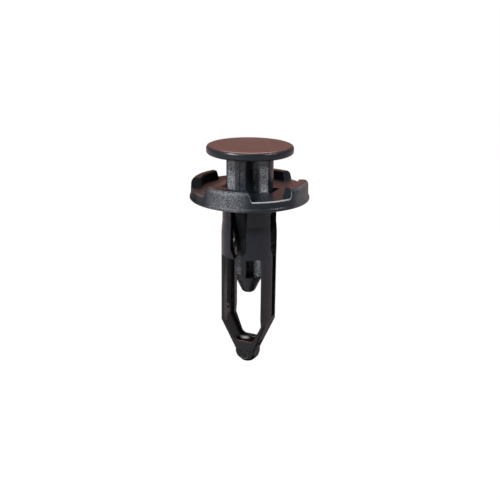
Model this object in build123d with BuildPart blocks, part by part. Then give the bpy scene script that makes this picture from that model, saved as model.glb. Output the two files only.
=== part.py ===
from build123d import *
import os
from math import radians, tan

# Push-type retainer clip in two mouldings, in millimetres.
# +Z points out of the panel that the clip closes, and the origin is on the clip's axis, in the
# plane where the flange rests on that panel. The legs and two of the pin's arms lie along X.
# The pin is drawn raised, as before it is pushed home.

# Flange with its raised lugs
flange_diameter = 18.0
rim_height = 0.5
rim_step = 0.15
rim_chamfer = 0.12
floor_height = 1.5
lug_height = 1.4
lug_width = 1.65
lug_count = 4
lug_gap_angle = 40.0
lug_draft = 17.0
wall_draft = 2.5
lug_outer_round = 0.75
lug_edge_chamfer = 0.15

# Slotted barrel under the flange
neck_diameter = 8.8
neck_length = 1.0
barrel_top_diameter = 8.2
barrel_length = 8.7
barrel_swell = 0.06
barrel_swell_top = 3.6
barrel_swell_bottom = 6.6
bore_diameter = 6.4
slot_width = 2.6
slot_straight_length = 7.3
slot_end_gap = 1.3
arm_groove_clearance = 0.35
mouth_chamfer = 0.3

# Legs and the nub that joins them
leg_outer_diameter = 8.5
leg_inner_width = 6.15
leg_depth = 4.9
channel_width = 2.9
channel_depth = 0.4
leg_slot_knee_gap = 0.05
knee_depth = 18.6
inner_knee_drop = 1.3
opening_floor_width = 3.0
opening_round = 1.0
opening_floor_height = 1.7
nub_top_depth = 24.8
nub_width = 3.3
nub_depth = 2.7
nub_edge_chamfer = 0.25
nub_dome_diameter = 4.1
nub_dome_chamfer = 1.4
nub_dome_easing = 0.45
mark_diameter = 1.15
mark_depth = 0.08
mark_height = 1.4
overall_length = 30.0

# Pin: head, thick cross above, slender cross below with a notch, and a blunt cone
head_diameter = 13.0
head_thickness = 1.26
head_edge_chamfer = 0.25
head_edge_easing = 0.1
head_dish_diameter = 10.6
head_dish_depth = 0.1
head_dish_slope_width = 1.0
arm_span = 7.16
arm_thickness = 1.63
arm_root_round = 0.2
arm_end_depth = 1.9
arm_taper_depth = 7.6
arm_taper_radius = 1.6
web_thickness = 0.8
web_radius = 2.12
notch_radius = 1.85
notch_bottom = 9.5
web_length = 12.3
cone_diameter = 4.1
cone_collar = 0.4
cone_length = 2.85
cone_tip_diameter = 1.8
cone_tip_round = 0.8
seam_width = 0.14
seam_depth = 0.06
pin_travel = 5.2
stop_gap = 0.04
face_margin = 0.01

# Values that follow from the sizes above
flange_radius = flange_diameter / 2
wall_radius = flange_radius - rim_step
lug_top = floor_height + lug_height
lug_inner_radius = wall_radius - lug_width
leg_radius = leg_outer_diameter / 2
inner_knee_depth = knee_depth + inner_knee_drop
leg_slot_length = knee_depth - leg_slot_knee_gap - slot_straight_length - slot_end_gap / 2
opening_depth = nub_top_depth - opening_floor_height
tip_depth = overall_length - lug_top
arm_radius = arm_span / 2
arm_groove_radius = arm_radius + arm_groove_clearance
head_radius = head_diameter / 2
head_underside = floor_height + pin_travel + stop_gap
head_top = head_underside + head_thickness
beyond = 2 * flange_diameter

os.makedirs("parts", exist_ok=True)


# Flange: a disc with a proud bottom rim and a ring that the gaps then cut into lugs
with BuildPart() as flange:
    wall_top_radius = wall_radius - (lug_top - rim_height) * tan(radians(wall_draft))
    lug_inner_top = lug_inner_radius + lug_height * tan(radians(wall_draft))
    with BuildSketch(Plane.XZ) as flange_section:
        with BuildLine():
            Polyline(
                (0, 0),
                (flange_radius, 0),
                (flange_radius, rim_height),
                (wall_radius, rim_height),
                (wall_top_radius, lug_top),
                (lug_inner_top, lug_top),
                (lug_inner_radius, floor_height),
                (0, floor_height),
                close=True,
            )
        make_face()
        chamfer(flange_section.vertices().group_by(Axis.X)[-1], rim_chamfer)
        fillet(flange_section.vertices().group_by(Axis.Y)[-1].sort_by(Axis.X)[-1], lug_outer_round)
        chamfer(flange_section.vertices().group_by(Axis.Y)[-1].sort_by(Axis.X)[0], lug_edge_chamfer)
    revolve(axis=Axis.Z)

    # Gaps on the diagonals, with drafted ends
    half_gap = beyond * tan(radians(lug_gap_angle / 2))
    for number in range(lug_count):
        turn = (number + 0.5) * 360 / lug_count
        with BuildSketch(Plane.XY.offset(floor_height).rotated((0, 0, turn))):
            with BuildLine():
                Polyline((0, 0), (beyond, -half_gap), (beyond, half_gap), close=True)
            make_face()
        extrude(amount=2 * lug_height, taper=-lug_draft, mode=Mode.SUBTRACT)


# Barrel outline: plain neck for the panel's hole, then a wall with a light swell
with BuildPart() as barrel:
    barrel_top_radius = barrel_top_diameter / 2
    swell_middle = (barrel_swell_top + barrel_swell_bottom) / 2
    swell_radius = (barrel_top_radius + leg_radius) / 2 + barrel_swell
    with BuildSketch(Plane.XZ):
        with BuildLine():
            Polyline(
                (barrel_top_radius, -barrel_swell_top),
                (barrel_top_radius, -neck_length),
                (neck_diameter / 2, -neck_length),
                (neck_diameter / 2, floor_height / 2),
                (0, floor_height / 2),
                (0, -barrel_length),
                (leg_radius, -barrel_length),
                (leg_radius, -barrel_swell_bottom),
            )
            ThreePointArc(
                (leg_radius, -barrel_swell_bottom),
                (swell_radius, -swell_middle),
                (barrel_top_radius, -barrel_swell_top),
            )
        make_face()
    revolve(axis=Axis.Z)


# Legs and nub in one: straight, then drawn together to the nub, inside a turned envelope
with BuildPart() as legs:
    with BuildSketch(Plane.XY.offset(-slot_straight_length)):
        Rectangle(leg_outer_diameter, leg_depth)
    extrude(amount=slot_straight_length - knee_depth)
    for depth, width, thickness in (
        (knee_depth, leg_outer_diameter, leg_depth),
        (nub_top_depth, nub_width, nub_depth),
    ):
        with BuildSketch(Plane.XY.offset(-depth)) as leg_section:
            Rectangle(width, thickness)
            chamfer(leg_section.vertices(), nub_edge_chamfer)
    loft()
    with BuildSketch(Plane.XY.offset(-nub_top_depth)) as nub_section:
        Rectangle(nub_width, nub_depth)
        chamfer(nub_section.vertices(), nub_edge_chamfer)
    extrude(amount=nub_top_depth - tip_depth)

    with BuildSketch(Plane.XZ) as envelope:
        with BuildLine():
            Polyline(
                (0, 0),
                (leg_radius, 0),
                (leg_radius, -nub_top_depth),
                (nub_dome_diameter / 2, -nub_top_depth),
                (nub_dome_diameter / 2, -tip_depth),
                (0, -tip_depth),
                close=True,
            )
        make_face()
        chamfer(envelope.vertices().group_by(Axis.Y)[0].sort_by(Axis.X)[-1], nub_dome_chamfer)
        dome_corners = envelope.vertices().group_by(Axis.Y)[:2]
        chamfer([corners.sort_by(Axis.X)[-1] for corners in dome_corners], nub_dome_easing)
    revolve(axis=Axis.Z, mode=Mode.INTERSECT)

    # Shallow round ejector mark on the nub's front
    with BuildSketch(Plane.XZ.offset(nub_depth / 2 - mark_depth)):
        with Locations((0, mark_height - tip_depth)):
            Circle(mark_diameter / 2)
    extrude(amount=nub_depth, mode=Mode.SUBTRACT)

    # Opening between the legs, and the channel that follows it down their inner faces
    with BuildSketch(Plane.XZ) as opening:
        with BuildLine():
            Polyline(
                (-opening_floor_width / 2, -opening_depth),
                (-leg_inner_width / 2, -inner_knee_depth),
                (-leg_inner_width / 2, 0),
                (leg_inner_width / 2, 0),
                (leg_inner_width / 2, -inner_knee_depth),
                (opening_floor_width / 2, -opening_depth),
                close=True,
            )
        make_face()
        fillet(opening.vertices().group_by(Axis.Y)[0], opening_round)
    extrude(amount=beyond, both=True, mode=Mode.SUBTRACT)
    with BuildSketch(Plane.XZ):
        add(opening.sketch_local)
        offset(amount=channel_depth, kind=Kind.INTERSECTION)
    extrude(amount=channel_width / 2, both=True, mode=Mode.SUBTRACT)

    # Narrow slot down the middle of each leg, round at its lower end
    with BuildSketch(Plane.YZ):
        with Locations((0, -slot_straight_length - leg_slot_length / 2)):
            SlotCenterToCenter(leg_slot_length, slot_end_gap, rotation=90)
    extrude(amount=beyond, both=True, mode=Mode.SUBTRACT)


# Grommet: flange, barrel and legs in one moulding, with the hole for the pin
with BuildPart() as grommet:
    add(flange.part)
    add(barrel.part)
    add(legs.part)

    with BuildSketch(Plane.XY.offset(lug_top)):
        Circle(bore_diameter / 2)
    extrude(amount=-lug_top - barrel_length, mode=Mode.SUBTRACT)

    # A cross of grooves for the pin's arms through flange and neck, eased at its mouth
    with BuildSketch(Plane.XY.offset(lug_top)):
        with PolarLocations(0, 2, angular_range=180):
            Rectangle(2 * arm_groove_radius, slot_width)
    extrude(amount=-lug_top - neck_length, mode=Mode.SUBTRACT)
    floor_face = grommet.faces().filter_by_position(
        Axis.Z, floor_height - face_margin, floor_height + face_margin
    )
    chamfer(floor_face[0].inner_wires().edges(), mouth_chamfer)

    # Slots right through the barrel's wall that close to a narrow gap at its end
    for plane in (Plane.XZ, Plane.YZ):
        with BuildSketch(plane):
            with BuildLine():
                Polyline(
                    (0, -neck_length),
                    (slot_width / 2, -neck_length),
                    (slot_width / 2, -slot_straight_length),
                    (slot_end_gap / 2, -barrel_length),
                    (0, -barrel_length),
                )
                mirror(about=Plane.YZ)
            make_face()
        extrude(amount=beyond, both=True, mode=Mode.SUBTRACT)
grommet.part.label = "grommet"
export_step(grommet.part, "parts/grommet.step")


# Push pin: head and shaft in one moulding
with BuildPart() as push_pin:
    # Thick cross from the head down into the barrel, inside a turned outline that narrows below
    with BuildSketch(Plane.XY.offset(head_underside)) as thick_cross:
        with PolarLocations(0, 2, angular_range=180):
            Rectangle(2 * arm_radius + arm_thickness, arm_thickness)
        fillet(thick_cross.vertices().sort_by_distance((0, 0))[:4], arm_root_round)
    extrude(amount=-head_underside - arm_taper_depth)
    with BuildSketch(Plane.XZ):
        with BuildLine():
            Polyline(
                (0, head_underside),
                (arm_radius, head_underside),
                (arm_radius, -arm_end_depth),
                (arm_taper_radius, -arm_taper_depth),
                (0, -arm_taper_depth),
                close=True,
            )
        make_face()
    revolve(axis=Axis.Z, mode=Mode.INTERSECT)

    # Round head with edges eased in two steps, and a shallow dish on top
    with BuildSketch(Plane.XZ) as head_section:
        with Locations((head_radius / 2, (head_underside + head_top) / 2)):
            Rectangle(head_radius, head_thickness)
        chamfer(head_section.vertices().group_by(Axis.X)[-1], head_edge_chamfer)
        chamfer(head_section.vertices().filter_by(lambda corner: corner.X > 0), head_edge_easing)
        with BuildLine():
            Polyline(
                (0, head_top),
                (head_dish_diameter / 2, head_top),
                (head_dish_diameter / 2 - head_dish_slope_width, head_top - head_dish_depth),
                (0, head_top - head_dish_depth),
                close=True,
            )
        make_face(mode=Mode.SUBTRACT)
    revolve(axis=Axis.Z)

    # Slender cross below: the web along X has a notch, the web along Y runs straight
    web_outlines = (
        (
            Plane.XZ,
            (notch_radius, -arm_end_depth),
            (notch_radius, -notch_bottom),
            (web_radius, -notch_bottom),
            (web_radius, -web_length),
        ),
        (
            Plane.YZ,
            (web_radius, -arm_end_depth),
            (web_radius, -web_length),
        ),
    )
    for plane, first_point, *other_points in web_outlines:
        with BuildSketch(plane):
            with BuildLine():
                Polyline((0, first_point[1]), first_point, *other_points, (0, -web_length))
                mirror(about=Plane.YZ)
            make_face()
        extrude(amount=web_thickness / 2, both=True)

    # Blunt cone that leads the pin in
    cone_tip = -web_length - cone_length
    with BuildSketch(Plane.XZ) as cone_section:
        with BuildLine():
            Polyline(
                (0, -web_length),
                (cone_diameter / 2, -web_length),
                (cone_diameter / 2, -web_length - cone_collar),
                (cone_tip_diameter / 2, cone_tip),
                (0, cone_tip),
                close=True,
            )
        make_face()
        fillet(cone_section.vertices().group_by(Axis.Y)[0].sort_by(Axis.X)[-1], cone_tip_round)
    revolve(axis=Axis.Z)

    # Mould seam down the front and back arm ends
    for seam_radius, top, bottom in (
        (arm_radius, head_underside, -arm_end_depth),
        (web_radius, -arm_taper_depth, -web_length),
    ):
        with BuildSketch(Plane.XY.offset(top)):
            with Locations((0, seam_radius), (0, -seam_radius)):
                Rectangle(seam_width, 2 * seam_depth)
        extrude(amount=bottom - top, mode=Mode.SUBTRACT)
push_pin.part.label = "push_pin"
export_step(push_pin.part, "parts/push_pin.step")
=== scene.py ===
from math import cos, radians, sin

import bpy
from mathutils import Matrix, Vector


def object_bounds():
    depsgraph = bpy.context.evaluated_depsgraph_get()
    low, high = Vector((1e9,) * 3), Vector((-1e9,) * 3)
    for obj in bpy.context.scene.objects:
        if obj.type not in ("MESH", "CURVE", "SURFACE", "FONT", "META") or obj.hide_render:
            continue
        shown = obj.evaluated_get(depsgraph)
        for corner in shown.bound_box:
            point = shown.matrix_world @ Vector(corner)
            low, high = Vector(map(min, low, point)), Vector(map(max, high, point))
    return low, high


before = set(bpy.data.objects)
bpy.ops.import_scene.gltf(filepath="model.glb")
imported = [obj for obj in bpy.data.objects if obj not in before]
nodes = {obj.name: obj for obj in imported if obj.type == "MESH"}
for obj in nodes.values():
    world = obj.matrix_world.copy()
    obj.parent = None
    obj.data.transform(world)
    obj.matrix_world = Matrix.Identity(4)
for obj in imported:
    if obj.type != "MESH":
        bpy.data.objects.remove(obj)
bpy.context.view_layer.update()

# Push-type retainer clip, in metres, in the frame of the solids.
# MM turns millimetres into metres.
MM = 0.001

# Camera: above the head and a little to the right of the clip's front
CAMERA_AZIMUTH = radians(23.4)
CAMERA_DISTANCE = 114.0 * MM
CAMERA_HEIGHT = 29.63 * MM
CAMERA_PITCH = radians(18.44)
CAMERA_ROLL = radians(-0.62)
FOCAL_PIXELS = 779.5
FRAME_PIXELS = 500
AXIS_COLUMN = 248.95
SENSOR_WIDTH = 36.0
NEAREST = 1.0 * MM
FARTHEST = 10.0

# Colours of the plastic: two blacks each for its cool and its plain parts, then painted light and
# shade and the texture's dots
COOL_BLACKS = ((0.0045, 0.0068, 0.011, 1), (0.0075, 0.0105, 0.0155, 1))
PLAIN_BLACKS = ((0.0055, 0.0062, 0.0068, 1), (0.0085, 0.0092, 0.01, 1))
SHADOW_BLACK = (0.003, 0.003, 0.003, 1)
# Edges: partly wear, partly a painted sheen in place of edge highlights
EDGE_WEAR_AND_SHEEN = (0.032, 0.034, 0.038, 1)
# A painted highlight on edges
PAINTED_EDGE_HIGHLIGHT = (0.72, 0.75, 0.76, 1)
# A painted glint
PAINTED_GLINT = (0.16, 0.225, 0.245, 1)
GROMMET_DOTS = (0.125, 0.128, 0.136, 1)
PIN_DOTS = (0.48, 0.48, 0.5, 1)

# Noise in the plastic: scale per metre, detail and roughness
GRAIN = (6000.0, 3.0, 0.6)
CLOUD = (300.0, 3.0, 0.55)
PITS = (6300.0, 2.0, 0.6)

# What the noise does. Here and below, a pair holds the limits between which a mask rises or
# fades, and a third and a fourth number are what it becomes at those limits.
CLOUD_TONES = (0.35, 0.7)
CLOUD_WEAR_AND_SHEEN = (0.3, 0.7, 0.2, 0.9)
PITS_SPECKLE = (0.42, 0.6, 0.1, 1.0)
GRAIN_ROUGHNESS = (0.3, 0.7, 0.27, 0.36)

# Relief: strength of the grain, and depths in millimetres
GRAIN_STRENGTH = 0.3
GRAIN_DEPTH = 0.004
PITS_DEPTH = 0.03
SINK_DEPTH = 0.06

# Edges: radius of their easing in millimetres, its samples, and how alike the eased normal and
# the face's own are where an edge is full and where it ends
EDGE_EASING = 0.13
EASING_SAMPLES = 8
EDGE_LIKENESS = (0.72, 0.99, 1.0, 0.0)

# Gloss: what texture and the painted-shade areas add to the roughness, and how those areas lower the
# specular level
GROMMET_IOR = 1.4
PIN_IOR = 1.45
TEXTURE_ROUGHNESS = 0.2
DULL_ROUGHNESS = 0.35
DULL_SPECULAR = (0.0, 1.0, 0.5, 0.01)

# Heights, in millimetres, between which the plain black of both pieces turns cool
COOL_Z = (-16.0, -9.0)

# Grommet, flange: where its masks fade, in millimetres or along the wave of the lugs
LUG_COUNT = 4
LUG_TEXTURE_RADIUS = (8.2, 8.5)
LUG_TEXTURE_WAVE = (-0.2, 0.9)
# The lug at -X gets fainter texture, as painted shade
SHADED_LUG_X = (-8.8, -6.8)
SHADED_LUG_TEXTURE = 0.3
# Painted highlights along the gaps' edges and the lugs' outer rim, fainter at -X
GAP_WAVE = (-0.3, -0.2, 1.0, 0.0)
GAP_STRIP_Z = (1.32, 1.4)
GAP_STRIP_BRIGHTNESS = 0.3
RIM_RADIUS = (8.4, 8.6)
RIM_LOW_Z = (1.1, 1.3)
RIM_HIGH_Z = (2.3, 2.6)
RIM_SIDES_X = (-4.0, 0.0)
FAR_RIM_BRIGHTNESS = 0.15
# Painted shade on the flange's side at -X
SHADED_SIDE_X = (-6.0, -4.2)
SHADED_SIDE_Z = (-1.0, 0.0)
SHADED_SIDE_STRENGTH = 0.65

# Grommet, slots in the legs and the legs' underside, which get painted shade
SLOT_X = (2.9, 3.0)
SLOT_Y = (0.655, 0.67)
SLOT_LOW_Z = (-18.58, -18.5)
SLOT_HIGH_Z = (-9.0, -8.8)
SLOT_SIDES_X = (-3.0, 3.0)
FAR_SLOT_SHADOW = 0.45
UNDERSIDE_NORMAL = (-0.35, -0.2, 0.6, 0.0)
UNDERSIDE_Z = (-18.6, -18.2)

# Grommet, foot of the channel and the nub below it
# A painted glint on the channel's floor; painted shade on the rest of the foot and on the nub; a
# painted highlight on the mark's rim
GLINT_CENTRE = (-0.85, 0.6)
GLINT_REACH = (1.15, 0.85)
GLINT_FADE = (0.3, 1.0, 1.0, 0.0)
FOOT_LOW_Z = (-23.9, -23.6)
GLINT_HIGH_Z = (-23.3, -23.1)
FOOT_HIGH_Z = (-23.3, -23.0)
FOOT_Y = (1.3, 1.42)
NUB_Z = (-24.9, -24.3)
NUB_SHADOW = 0.3
MARK_Z = -25.7
MARK_INSIDE = (0.42, 0.56)
MARK_OUTSIDE = (0.6, 0.72)
MARK_FRONT_Y = (-1.22, -1.15)
MARK_BRIGHTNESS = 0.035

# Pin: where its masks fade, in millimetres
ARM_ROOT_X = (0.95, 1.05)
ARM_END_X = (3.25, 3.32)
ARM_FACE_Y = (0.9, 0.95)
ARM_SIDES_X = (-1.0, 1.0)
# The arm at -X gets fainter texture, as painted shade
FAR_ARM_TEXTURE = 0.78
UPPER_ARM_Z = (0.2, 1.0)
LOWER_ARM_Z = (-9.4, -9.0)
LOWER_ARM_TEXTURE = 0.3
CROSS_END_Y = (3.3, 3.4)
CROSS_SEAM_X = (0.08, 0.12)
CROSS_END_TEXTURE = 0.11
TEXTURE_TOP_Z = (6.55, 6.65)
TEXTURE_FOOT_Z = (-12.25, -12.15)
# Painted shade on the pin's middle, inside the barrel
HIDDEN_TOP_Z = (-1.2, -0.4)
HIDDEN_FOOT_Z = (-9.2, -8.4)
HIDDEN_SHADOW = 0.6
SINK_RADIUS = (0.4, 2.9)

# Surround: how light the room is by height, and the directions of a warm card behind the clip
# and a dark hood in front, with how near to them their tones begin and are full
WHITE = (1.0, 1.0, 1.0, 1.0)
ROOM_LOW = (0.175, 0.184, 0.2, 1)
ROOM_HIGH = (0.37, 0.39, 0.42, 1)
ROOM_RISE = (-0.1, 0.7)
CARD_BROWN = (0.5, 0.22, 0.165, 1)
CARD_DIRECTION = (-0.384, 0.886, 0.259)
CARD_NEARNESS = (0.55, 0.92)
HOOD_GREY = (0.05, 0.052, 0.06, 1)
HOOD_DIRECTION = (0.380, -0.877, 0.292)
HOOD_NEARNESS = (0.6, 0.95)

# Floor: its drop under the clip and its reach each way, and how its share of plain white grows
# with the distance from the clip's axis, all in metres but the shares
FLOOR_GREY = (0.36, 0.36, 0.37, 1)
FLOOR_DROP = 0.5 * MM
FLOOR_REACH = 2.0
FLOOR_WHITE_SHARE = (0.06, 0.3, 0.95, 1.0)

# Lamps: name, place, target, side of the square, watts and colour
COOL_LIGHT = (0.94, 0.97, 1.0)
SOFT_LIGHT = (0.95, 0.97, 1.0)
WARM_LIGHT = (1.0, 0.54, 0.43)
CLIP_MIDDLE = (0, 0, -0.003)
LAMPS = (
    ("key", (-0.134, -0.241, 0.215), CLIP_MIDDLE, 0.04, 1.1, COOL_LIGHT),
    ("side", (0.27, -0.015, 0.22), CLIP_MIDDLE, 0.035, 0.65, COOL_LIGHT),
    ("low", (-0.126, -0.313, 0.110), (0, 0, 0.003), 0.04, 0.38, COOL_LIGHT),
    ("fill", (0.02, -0.16, 0.31), CLIP_MIDDLE, 0.2, 0.40, SOFT_LIGHT),
    ("behind", (-0.1, 0.22, 0.3), (-0.05, 0.12, -0.03), 0.2, 1.3, WARM_LIGHT),
)


def add_camera():
    data = bpy.data.cameras.new("camera")
    camera = bpy.data.objects.new("camera", data)
    bpy.context.scene.collection.objects.link(camera)
    data.sensor_width = SENSOR_WIDTH
    data.lens = FOCAL_PIXELS / FRAME_PIXELS * SENSOR_WIDTH
    data.shift_x = (FRAME_PIXELS / 2 - AXIS_COLUMN) / FRAME_PIXELS
    data.clip_start = NEAREST
    data.clip_end = FARTHEST
    across, away = sin(CAMERA_AZIMUTH), -cos(CAMERA_AZIMUTH)
    forward = Vector((-across * cos(CAMERA_PITCH), -away * cos(CAMERA_PITCH), -sin(CAMERA_PITCH)))
    right = forward.cross(Vector((0, 0, 1))).normalized()
    turn = Matrix.Rotation(CAMERA_ROLL, 3, forward)
    right = turn @ right
    up = right.cross(forward)
    place = Vector((across * CAMERA_DISTANCE, away * CAMERA_DISTANCE, CAMERA_HEIGHT))
    rotation = Matrix((right, up, -forward)).transposed()
    camera.matrix_world = Matrix.Translation(place) @ rotation.to_4x4()
    bpy.context.scene.camera = camera


# Node helpers
def set_inputs(node, values):
    for name, value in values.items():
        node.inputs[name].default_value = value


class Graph:
    """A node tree, with one call per node and its links."""

    def __init__(self, tree):
        self.tree = tree
        tree.nodes.clear()

    def feed(self, socket, value):
        """Link a socket to another node's output, or give it a fixed value."""
        if isinstance(value, bpy.types.NodeSocket):
            self.tree.links.new(value, socket)
        else:
            socket.default_value = value

    def node(self, kind, settings=None, **links):
        """Links go by the input's name, with _ for a space, or by its number, as in i0."""
        made = self.tree.nodes.new(kind)
        for name, value in (settings or {}).items():
            setattr(made, name, value)
        for name, value in links.items():
            numbered = name[0] == "i" and name[1:].isdigit()
            self.feed(made.inputs[int(name[1:]) if numbered else name.replace("_", " ")], value)
        return made

    def math(self, operation, *values, clamp=False):
        settings = {"operation": operation, "use_clamp": clamp}
        links = {f"i{number}": value for number, value in enumerate(values)}
        return self.node("ShaderNodeMath", settings, **links).outputs[0]

    def dot(self, first, second):
        settings = {"operation": "DOT_PRODUCT"}
        return self.node("ShaderNodeVectorMath", settings, i0=first, i1=second).outputs["Value"]

    def parts(self, vector):
        return self.node("ShaderNodeSeparateXYZ", None, Vector=vector).outputs

    def span(self, value, low, high, out_low=0.0, out_high=1.0):
        """The value's stretch from low to high, smoothly turned into out_low to out_high."""
        settings = {"interpolation_type": "SMOOTHSTEP"}
        made = self.node("ShaderNodeMapRange", settings, Value=value)
        set_inputs(made, {"From Min": low, "From Max": high, "To Min": out_low, "To Max": out_high})
        return made.outputs[0]

    def rise(self, value, limits, most=1.0, least=0.0):
        """A mask that grows between two limits in millimetres."""
        return self.span(value, limits[0] * MM, limits[1] * MM, least, most)

    def fall(self, value, limits, most=1.0):
        """A mask that fades out between two limits in millimetres."""
        return self.span(value, limits[0] * MM, limits[1] * MM, most, 0.0)

    def noise(self, vector, scale, detail, roughness):
        made = self.node("ShaderNodeTexNoise", None, Vector=vector)
        set_inputs(made, {"Scale": scale, "Detail": detail, "Roughness": roughness})
        return made.outputs["Fac"]

    def bump(self, height, normal, depth, strength=1.0):
        """The normal with a relief on it, its depth in millimetres."""
        made = self.node("ShaderNodeBump", None, Height=height, Normal=normal, Strength=strength)
        set_inputs(made, {"Distance": depth * MM})
        return made.outputs[0]

    def mix(self, factor, first, second):
        """Two colours mixed: a colour mix node takes them at its inputs 6 and 7."""
        made = self.node("ShaderNodeMix", {"data_type": "RGBA"}, i0=factor, i6=first, i7=second)
        return made.outputs[2]

    def radius(self, across, along):
        squares = [self.math("POWER", part, 2.0) for part in (across, along)]
        return self.math("SQRT", self.math("ADD", *squares))

    def all_of(self, *masks):
        product = masks[0]
        for mask in masks[1:]:
            product = self.math("MULTIPLY", product, mask)
        return product

    def any_of(self, *masks):
        total = masks[0]
        for mask in masks[1:]:
            total = self.math("ADD", total, mask, clamp=True)
        return total


def plastic(name, index, dots, stippled, shade_and_dullness, painted_highlight=None, glint=None, sink=None):
    """Black moulded plastic: a fine grain everywhere, and spark texture where stippled says."""
    material = bpy.data.materials.new(name)
    material.use_nodes = True
    graph = Graph(material.node_tree)
    place = graph.node("ShaderNodeTexCoord").outputs["Object"]
    parts = graph.parts(place)
    mask = stippled(graph, parts)

    grain = graph.noise(place, *GRAIN)
    cloud = graph.noise(place, *CLOUD)
    pits = graph.noise(place, *PITS)

    cool = graph.mix(graph.span(cloud, *CLOUD_TONES), *COOL_BLACKS)
    plain = graph.mix(graph.span(cloud, *CLOUD_TONES), *PLAIN_BLACKS)
    tone = graph.mix(graph.rise(parts[2], COOL_Z), plain, cool)
    speckle = graph.all_of(graph.span(pits, *PITS_SPECKLE), mask)

    # An edge lies where the eased normal leaves the face's own
    eased = graph.node("ShaderNodeBevel", {"samples": EASING_SAMPLES})
    set_inputs(eased, {"Radius": EDGE_EASING * MM})
    sharp = graph.node("ShaderNodeNewGeometry").outputs["Normal"]
    edge = graph.span(graph.dot(eased.outputs[0], sharp), *EDGE_LIKENESS)
    # Edges turn lighter: partly wear, partly a painted sheen that stands in for edge highlights
    wear_and_sheen = graph.all_of(edge, graph.span(cloud, *CLOUD_WEAR_AND_SHEEN))

    colour = graph.mix(speckle, graph.mix(wear_and_sheen, tone, EDGE_WEAR_AND_SHEEN), dots)
    if painted_highlight:
        # A painted highlight on the flange's gap edges and on the rim of the nub's mark
        colour = graph.mix(painted_highlight(graph, parts, edge), colour, PAINTED_EDGE_HIGHLIGHT)
    if glint:
        # A painted glint on the foot's channel floor
        colour = graph.mix(glint(graph, parts), colour, PAINTED_GLINT)
    smooth = graph.span(grain, *GRAIN_ROUGHNESS)
    rough = graph.math("ADD", smooth, graph.math("MULTIPLY", mask, TEXTURE_ROUGHNESS))

    # Painted shade: these areas get a darker colour, and are also rougher and reflect less
    painted_shade = shade_and_dullness(graph, parts, graph.parts(sharp))
    colour = graph.mix(painted_shade, colour, SHADOW_BLACK)
    rough = graph.math("ADD", rough, graph.math("MULTIPLY", painted_shade, DULL_ROUGHNESS))
    level = graph.span(painted_shade, *DULL_SPECULAR)

    normal = eased.outputs[0]
    if sink:
        normal = graph.bump(sink(graph, parts), normal, SINK_DEPTH)
    normal = graph.bump(grain, normal, GRAIN_DEPTH, GRAIN_STRENGTH)
    normal = graph.bump(pits, normal, PITS_DEPTH, mask)

    links = {"Base_Color": colour, "Roughness": rough, "Specular_IOR_Level": level, "Normal": normal}
    shader = graph.node("ShaderNodeBsdfPrincipled", None, **links)
    set_inputs(shader, {"IOR": index})
    graph.node("ShaderNodeOutputMaterial", None, Surface=shader.outputs[0])
    return material


# Masks on the grommet
def lug_wave(graph, parts):
    """One where a lug lies, on the four axes, and minus one in the gaps between them."""
    angle = graph.math("ARCTAN2", parts[1], parts[0])
    return graph.math("COSINE", graph.math("MULTIPLY", angle, LUG_COUNT))


def grommet_stipple(graph, parts):
    """Texture on the outer wall of the flange's lugs, fainter on the lug at -X as painted shade."""
    return graph.all_of(
        graph.rise(graph.radius(parts[0], parts[1]), LUG_TEXTURE_RADIUS),
        graph.span(lug_wave(graph, parts), *LUG_TEXTURE_WAVE),
        graph.rise(parts[0], SHADED_LUG_X, least=SHADED_LUG_TEXTURE),
    )


def foot_glint(graph, parts):
    """A pale painted glint on the channel's floor, where the legs meet."""
    offsets = [
        graph.math("DIVIDE", graph.math("SUBTRACT", part, centre * MM), reach * MM)
        for part, centre, reach in zip(parts[:2], GLINT_CENTRE, GLINT_REACH)
    ]
    return graph.all_of(
        graph.span(graph.radius(*offsets), *GLINT_FADE),
        graph.rise(parts[2], FOOT_LOW_Z),
        graph.fall(parts[2], GLINT_HIGH_Z),
    )


def grommet_shade_and_dullness(graph, parts, facing):
    """Painted shade, with rougher and less glossy plastic: the legs' slots, foot, underside and nub,
    and one side of the flange.
    """
    across = graph.math("ABSOLUTE", parts[0])
    along = graph.math("ABSOLUTE", parts[1])
    slots = graph.all_of(
        graph.fall(along, SLOT_Y),
        graph.rise(across, SLOT_X),
        graph.rise(parts[0], SLOT_SIDES_X, least=FAR_SLOT_SHADOW),
        graph.rise(parts[2], SLOT_LOW_Z),
        graph.fall(parts[2], SLOT_HIGH_Z),
    )
    foot = graph.all_of(
        graph.math("SUBTRACT", 1.0, foot_glint(graph, parts)),
        graph.fall(along, FOOT_Y),
        graph.rise(parts[2], FOOT_LOW_Z),
        graph.fall(parts[2], FOOT_HIGH_Z),
    )
    underside = graph.all_of(
        graph.span(facing[2], *UNDERSIDE_NORMAL),
        graph.fall(parts[2], UNDERSIDE_Z),
    )
    side = graph.all_of(
        graph.fall(parts[0], SHADED_SIDE_X, SHADED_SIDE_STRENGTH),
        graph.rise(parts[2], SHADED_SIDE_Z),
    )
    nub = graph.fall(parts[2], NUB_Z, NUB_SHADOW)
    return graph.any_of(slots, foot, underside, side, nub)


def nub_mark(graph, parts):
    """A painted highlight on the rim of the ejector mark on the nub's front."""
    radius = graph.radius(parts[0], graph.math("SUBTRACT", parts[2], MARK_Z * MM))
    return graph.all_of(
        graph.rise(radius, MARK_INSIDE, MARK_BRIGHTNESS),
        graph.fall(radius, MARK_OUTSIDE),
        graph.fall(parts[1], MARK_FRONT_Y),
    )


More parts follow.
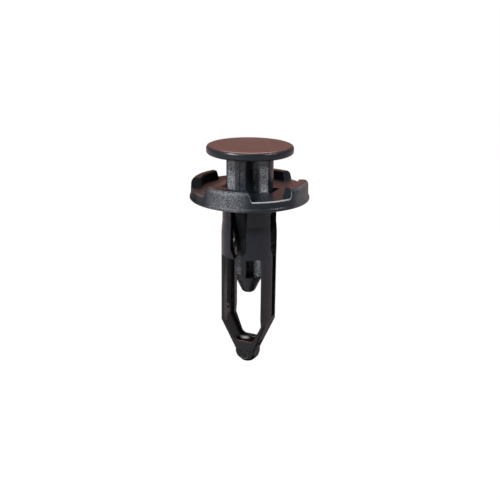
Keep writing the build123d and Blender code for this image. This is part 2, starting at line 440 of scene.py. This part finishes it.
def grommet_painted_highlight(graph, parts, edge):
    """Painted highlights on the edges where the flange's gaps meet its outer wall, and on the rim of
    the nub's mark.
    """
    gap = graph.span(lug_wave(graph, parts), *GAP_WAVE)
    strip = graph.all_of(gap, graph.rise(parts[2], GAP_STRIP_Z, GAP_STRIP_BRIGHTNESS))
    rim = graph.all_of(
        graph.any_of(edge, strip),
        graph.rise(graph.radius(parts[0], parts[1]), RIM_RADIUS),
        graph.rise(parts[2], RIM_LOW_Z),
        graph.fall(parts[2], RIM_HIGH_Z),
        graph.rise(parts[0], RIM_SIDES_X, least=FAR_RIM_BRIGHTNESS),
    )
    return graph.any_of(rim, nub_mark(graph, parts))


# Masks on the pin
def pin_stipple(graph, parts):
    """Texture on the arms' flat sides along X, fainter at -X as painted shade, and a trace on the
    other arms' ends.
    """
    across = graph.math("ABSOLUTE", parts[0])
    along = graph.math("ABSOLUTE", parts[1])
    upper = graph.rise(parts[2], UPPER_ARM_Z)
    lower = graph.fall(parts[2], LOWER_ARM_Z, LOWER_ARM_TEXTURE)
    sides = graph.all_of(
        graph.rise(across, ARM_ROOT_X),
        graph.rise(parts[0], ARM_SIDES_X, least=FAR_ARM_TEXTURE),
        graph.fall(across, ARM_END_X),
        graph.fall(along, ARM_FACE_Y),
        graph.math("ADD", upper, lower),
    )
    ends = graph.all_of(
        graph.rise(along, CROSS_END_Y),
        graph.rise(across, CROSS_SEAM_X),
        graph.rise(parts[2], UPPER_ARM_Z, CROSS_END_TEXTURE),
    )
    return graph.all_of(
        graph.any_of(sides, ends),
        graph.fall(parts[2], TEXTURE_TOP_Z),
        graph.rise(parts[2], TEXTURE_FOOT_Z),
    )


def pin_shade_and_dullness(graph, parts, _facing):
    """Painted shade, with rougher and less glossy plastic, on the pin's middle, which works inside
    the barrel.
    """
    return graph.all_of(
        graph.fall(parts[2], HIDDEN_TOP_Z, HIDDEN_SHADOW),
        graph.rise(parts[2], HIDDEN_FOOT_Z),
    )


def head_sink(graph, parts):
    """A soft sink in the middle of the head's top."""
    return graph.rise(graph.radius(parts[0], parts[1]), SINK_RADIUS)


def dress(node_name, material):
    node = nodes[node_name]
    if not node.material_slots:
        node.data.materials.append(material)
    for slot in node.material_slots:
        slot.material = material


# Light and floor: a cool pale surround that the camera sees as white, soft lamps, a pale floor
def add_world():
    world = bpy.data.worlds.new("surround")
    bpy.context.scene.world = world
    world.use_nodes = True
    graph = Graph(world.node_tree)
    path = graph.node("ShaderNodeLightPath").outputs
    direction = graph.node("ShaderNodeTexCoord").outputs["Generated"]
    height = graph.parts(direction)[2]
    room = graph.mix(graph.span(height, *ROOM_RISE), ROOM_LOW, ROOM_HIGH)
    hood = graph.span(graph.dot(direction, HOOD_DIRECTION), *HOOD_NEARNESS)
    card = graph.span(graph.dot(direction, CARD_DIRECTION), *CARD_NEARNESS)
    lit = graph.mix(card, graph.mix(hood, room, HOOD_GREY), CARD_BROWN)
    colour = graph.mix(path["Is Camera Ray"], lit, WHITE)
    background = graph.node("ShaderNodeBackground", None, Color=colour)
    graph.node("ShaderNodeOutputWorld", None, Surface=background.outputs[0])


def add_lamp(name, place, target, side, watts, colour):
    data = bpy.data.lights.new(name, "AREA")
    data.shape = "RECTANGLE"
    data.size = side
    data.size_y = side
    data.energy = watts
    data.color = colour
    lamp = bpy.data.objects.new(name, data)
    bpy.context.scene.collection.objects.link(lamp)
    aim = Vector(target) - Vector(place)
    lamp.matrix_world = Matrix.Translation(place) @ aim.to_track_quat("-Z", "Y").to_matrix().to_4x4()


def add_floor():
    """A pale matte floor that the camera sees as nearly white, with the clip's soft shadow on it."""
    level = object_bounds()[0][2] - FLOOR_DROP
    mesh = bpy.data.meshes.new("floor")
    signs = ((-1, -1), (1, -1), (1, 1), (-1, 1))
    corners = [(x * FLOOR_REACH, y * FLOOR_REACH, level) for x, y in signs]
    mesh.from_pydata(corners, [], [(0, 1, 2, 3)])
    floor = bpy.data.objects.new("floor", mesh)
    bpy.context.scene.collection.objects.link(floor)

    material = bpy.data.materials.new("floor_white")
    material.use_nodes = True
    graph = Graph(material.node_tree)
    path = graph.node("ShaderNodeLightPath").outputs
    tone = graph.mix(path["Is Camera Ray"], FLOOR_GREY, WHITE)
    matte = graph.node("ShaderNodeBsdfDiffuse", None, Color=tone)
    glow = graph.node("ShaderNodeEmission", None, Color=WHITE)
    parts = graph.parts(graph.node("ShaderNodeTexCoord").outputs["Object"])
    plain_white = graph.span(graph.radius(parts[0], parts[1]), *FLOOR_WHITE_SHARE)
    share = graph.math("MULTIPLY", path["Is Camera Ray"], plain_white)
    blend = graph.node("ShaderNodeMixShader", None, i0=share, i1=matte.outputs[0], i2=glow.outputs[0])
    graph.node("ShaderNodeOutputMaterial", None, Surface=blend.outputs[0])
    mesh.materials.append(material)


add_camera()
black_grommet = plastic(
    "black_grommet",
    GROMMET_IOR,
    GROMMET_DOTS,
    grommet_stipple,
    grommet_shade_and_dullness,
    painted_highlight=grommet_painted_highlight,
    glint=foot_glint,
)
black_pin = plastic("black_pin", PIN_IOR, PIN_DOTS, pin_stipple, pin_shade_and_dullness, sink=head_sink)
dress("grommet", black_grommet)
dress("push_pin", black_pin)
add_world()
add_floor()
for lamp_row in LAMPS:
    add_lamp(*lamp_row)

bpy.context.scene.view_settings.view_transform = "Standard"
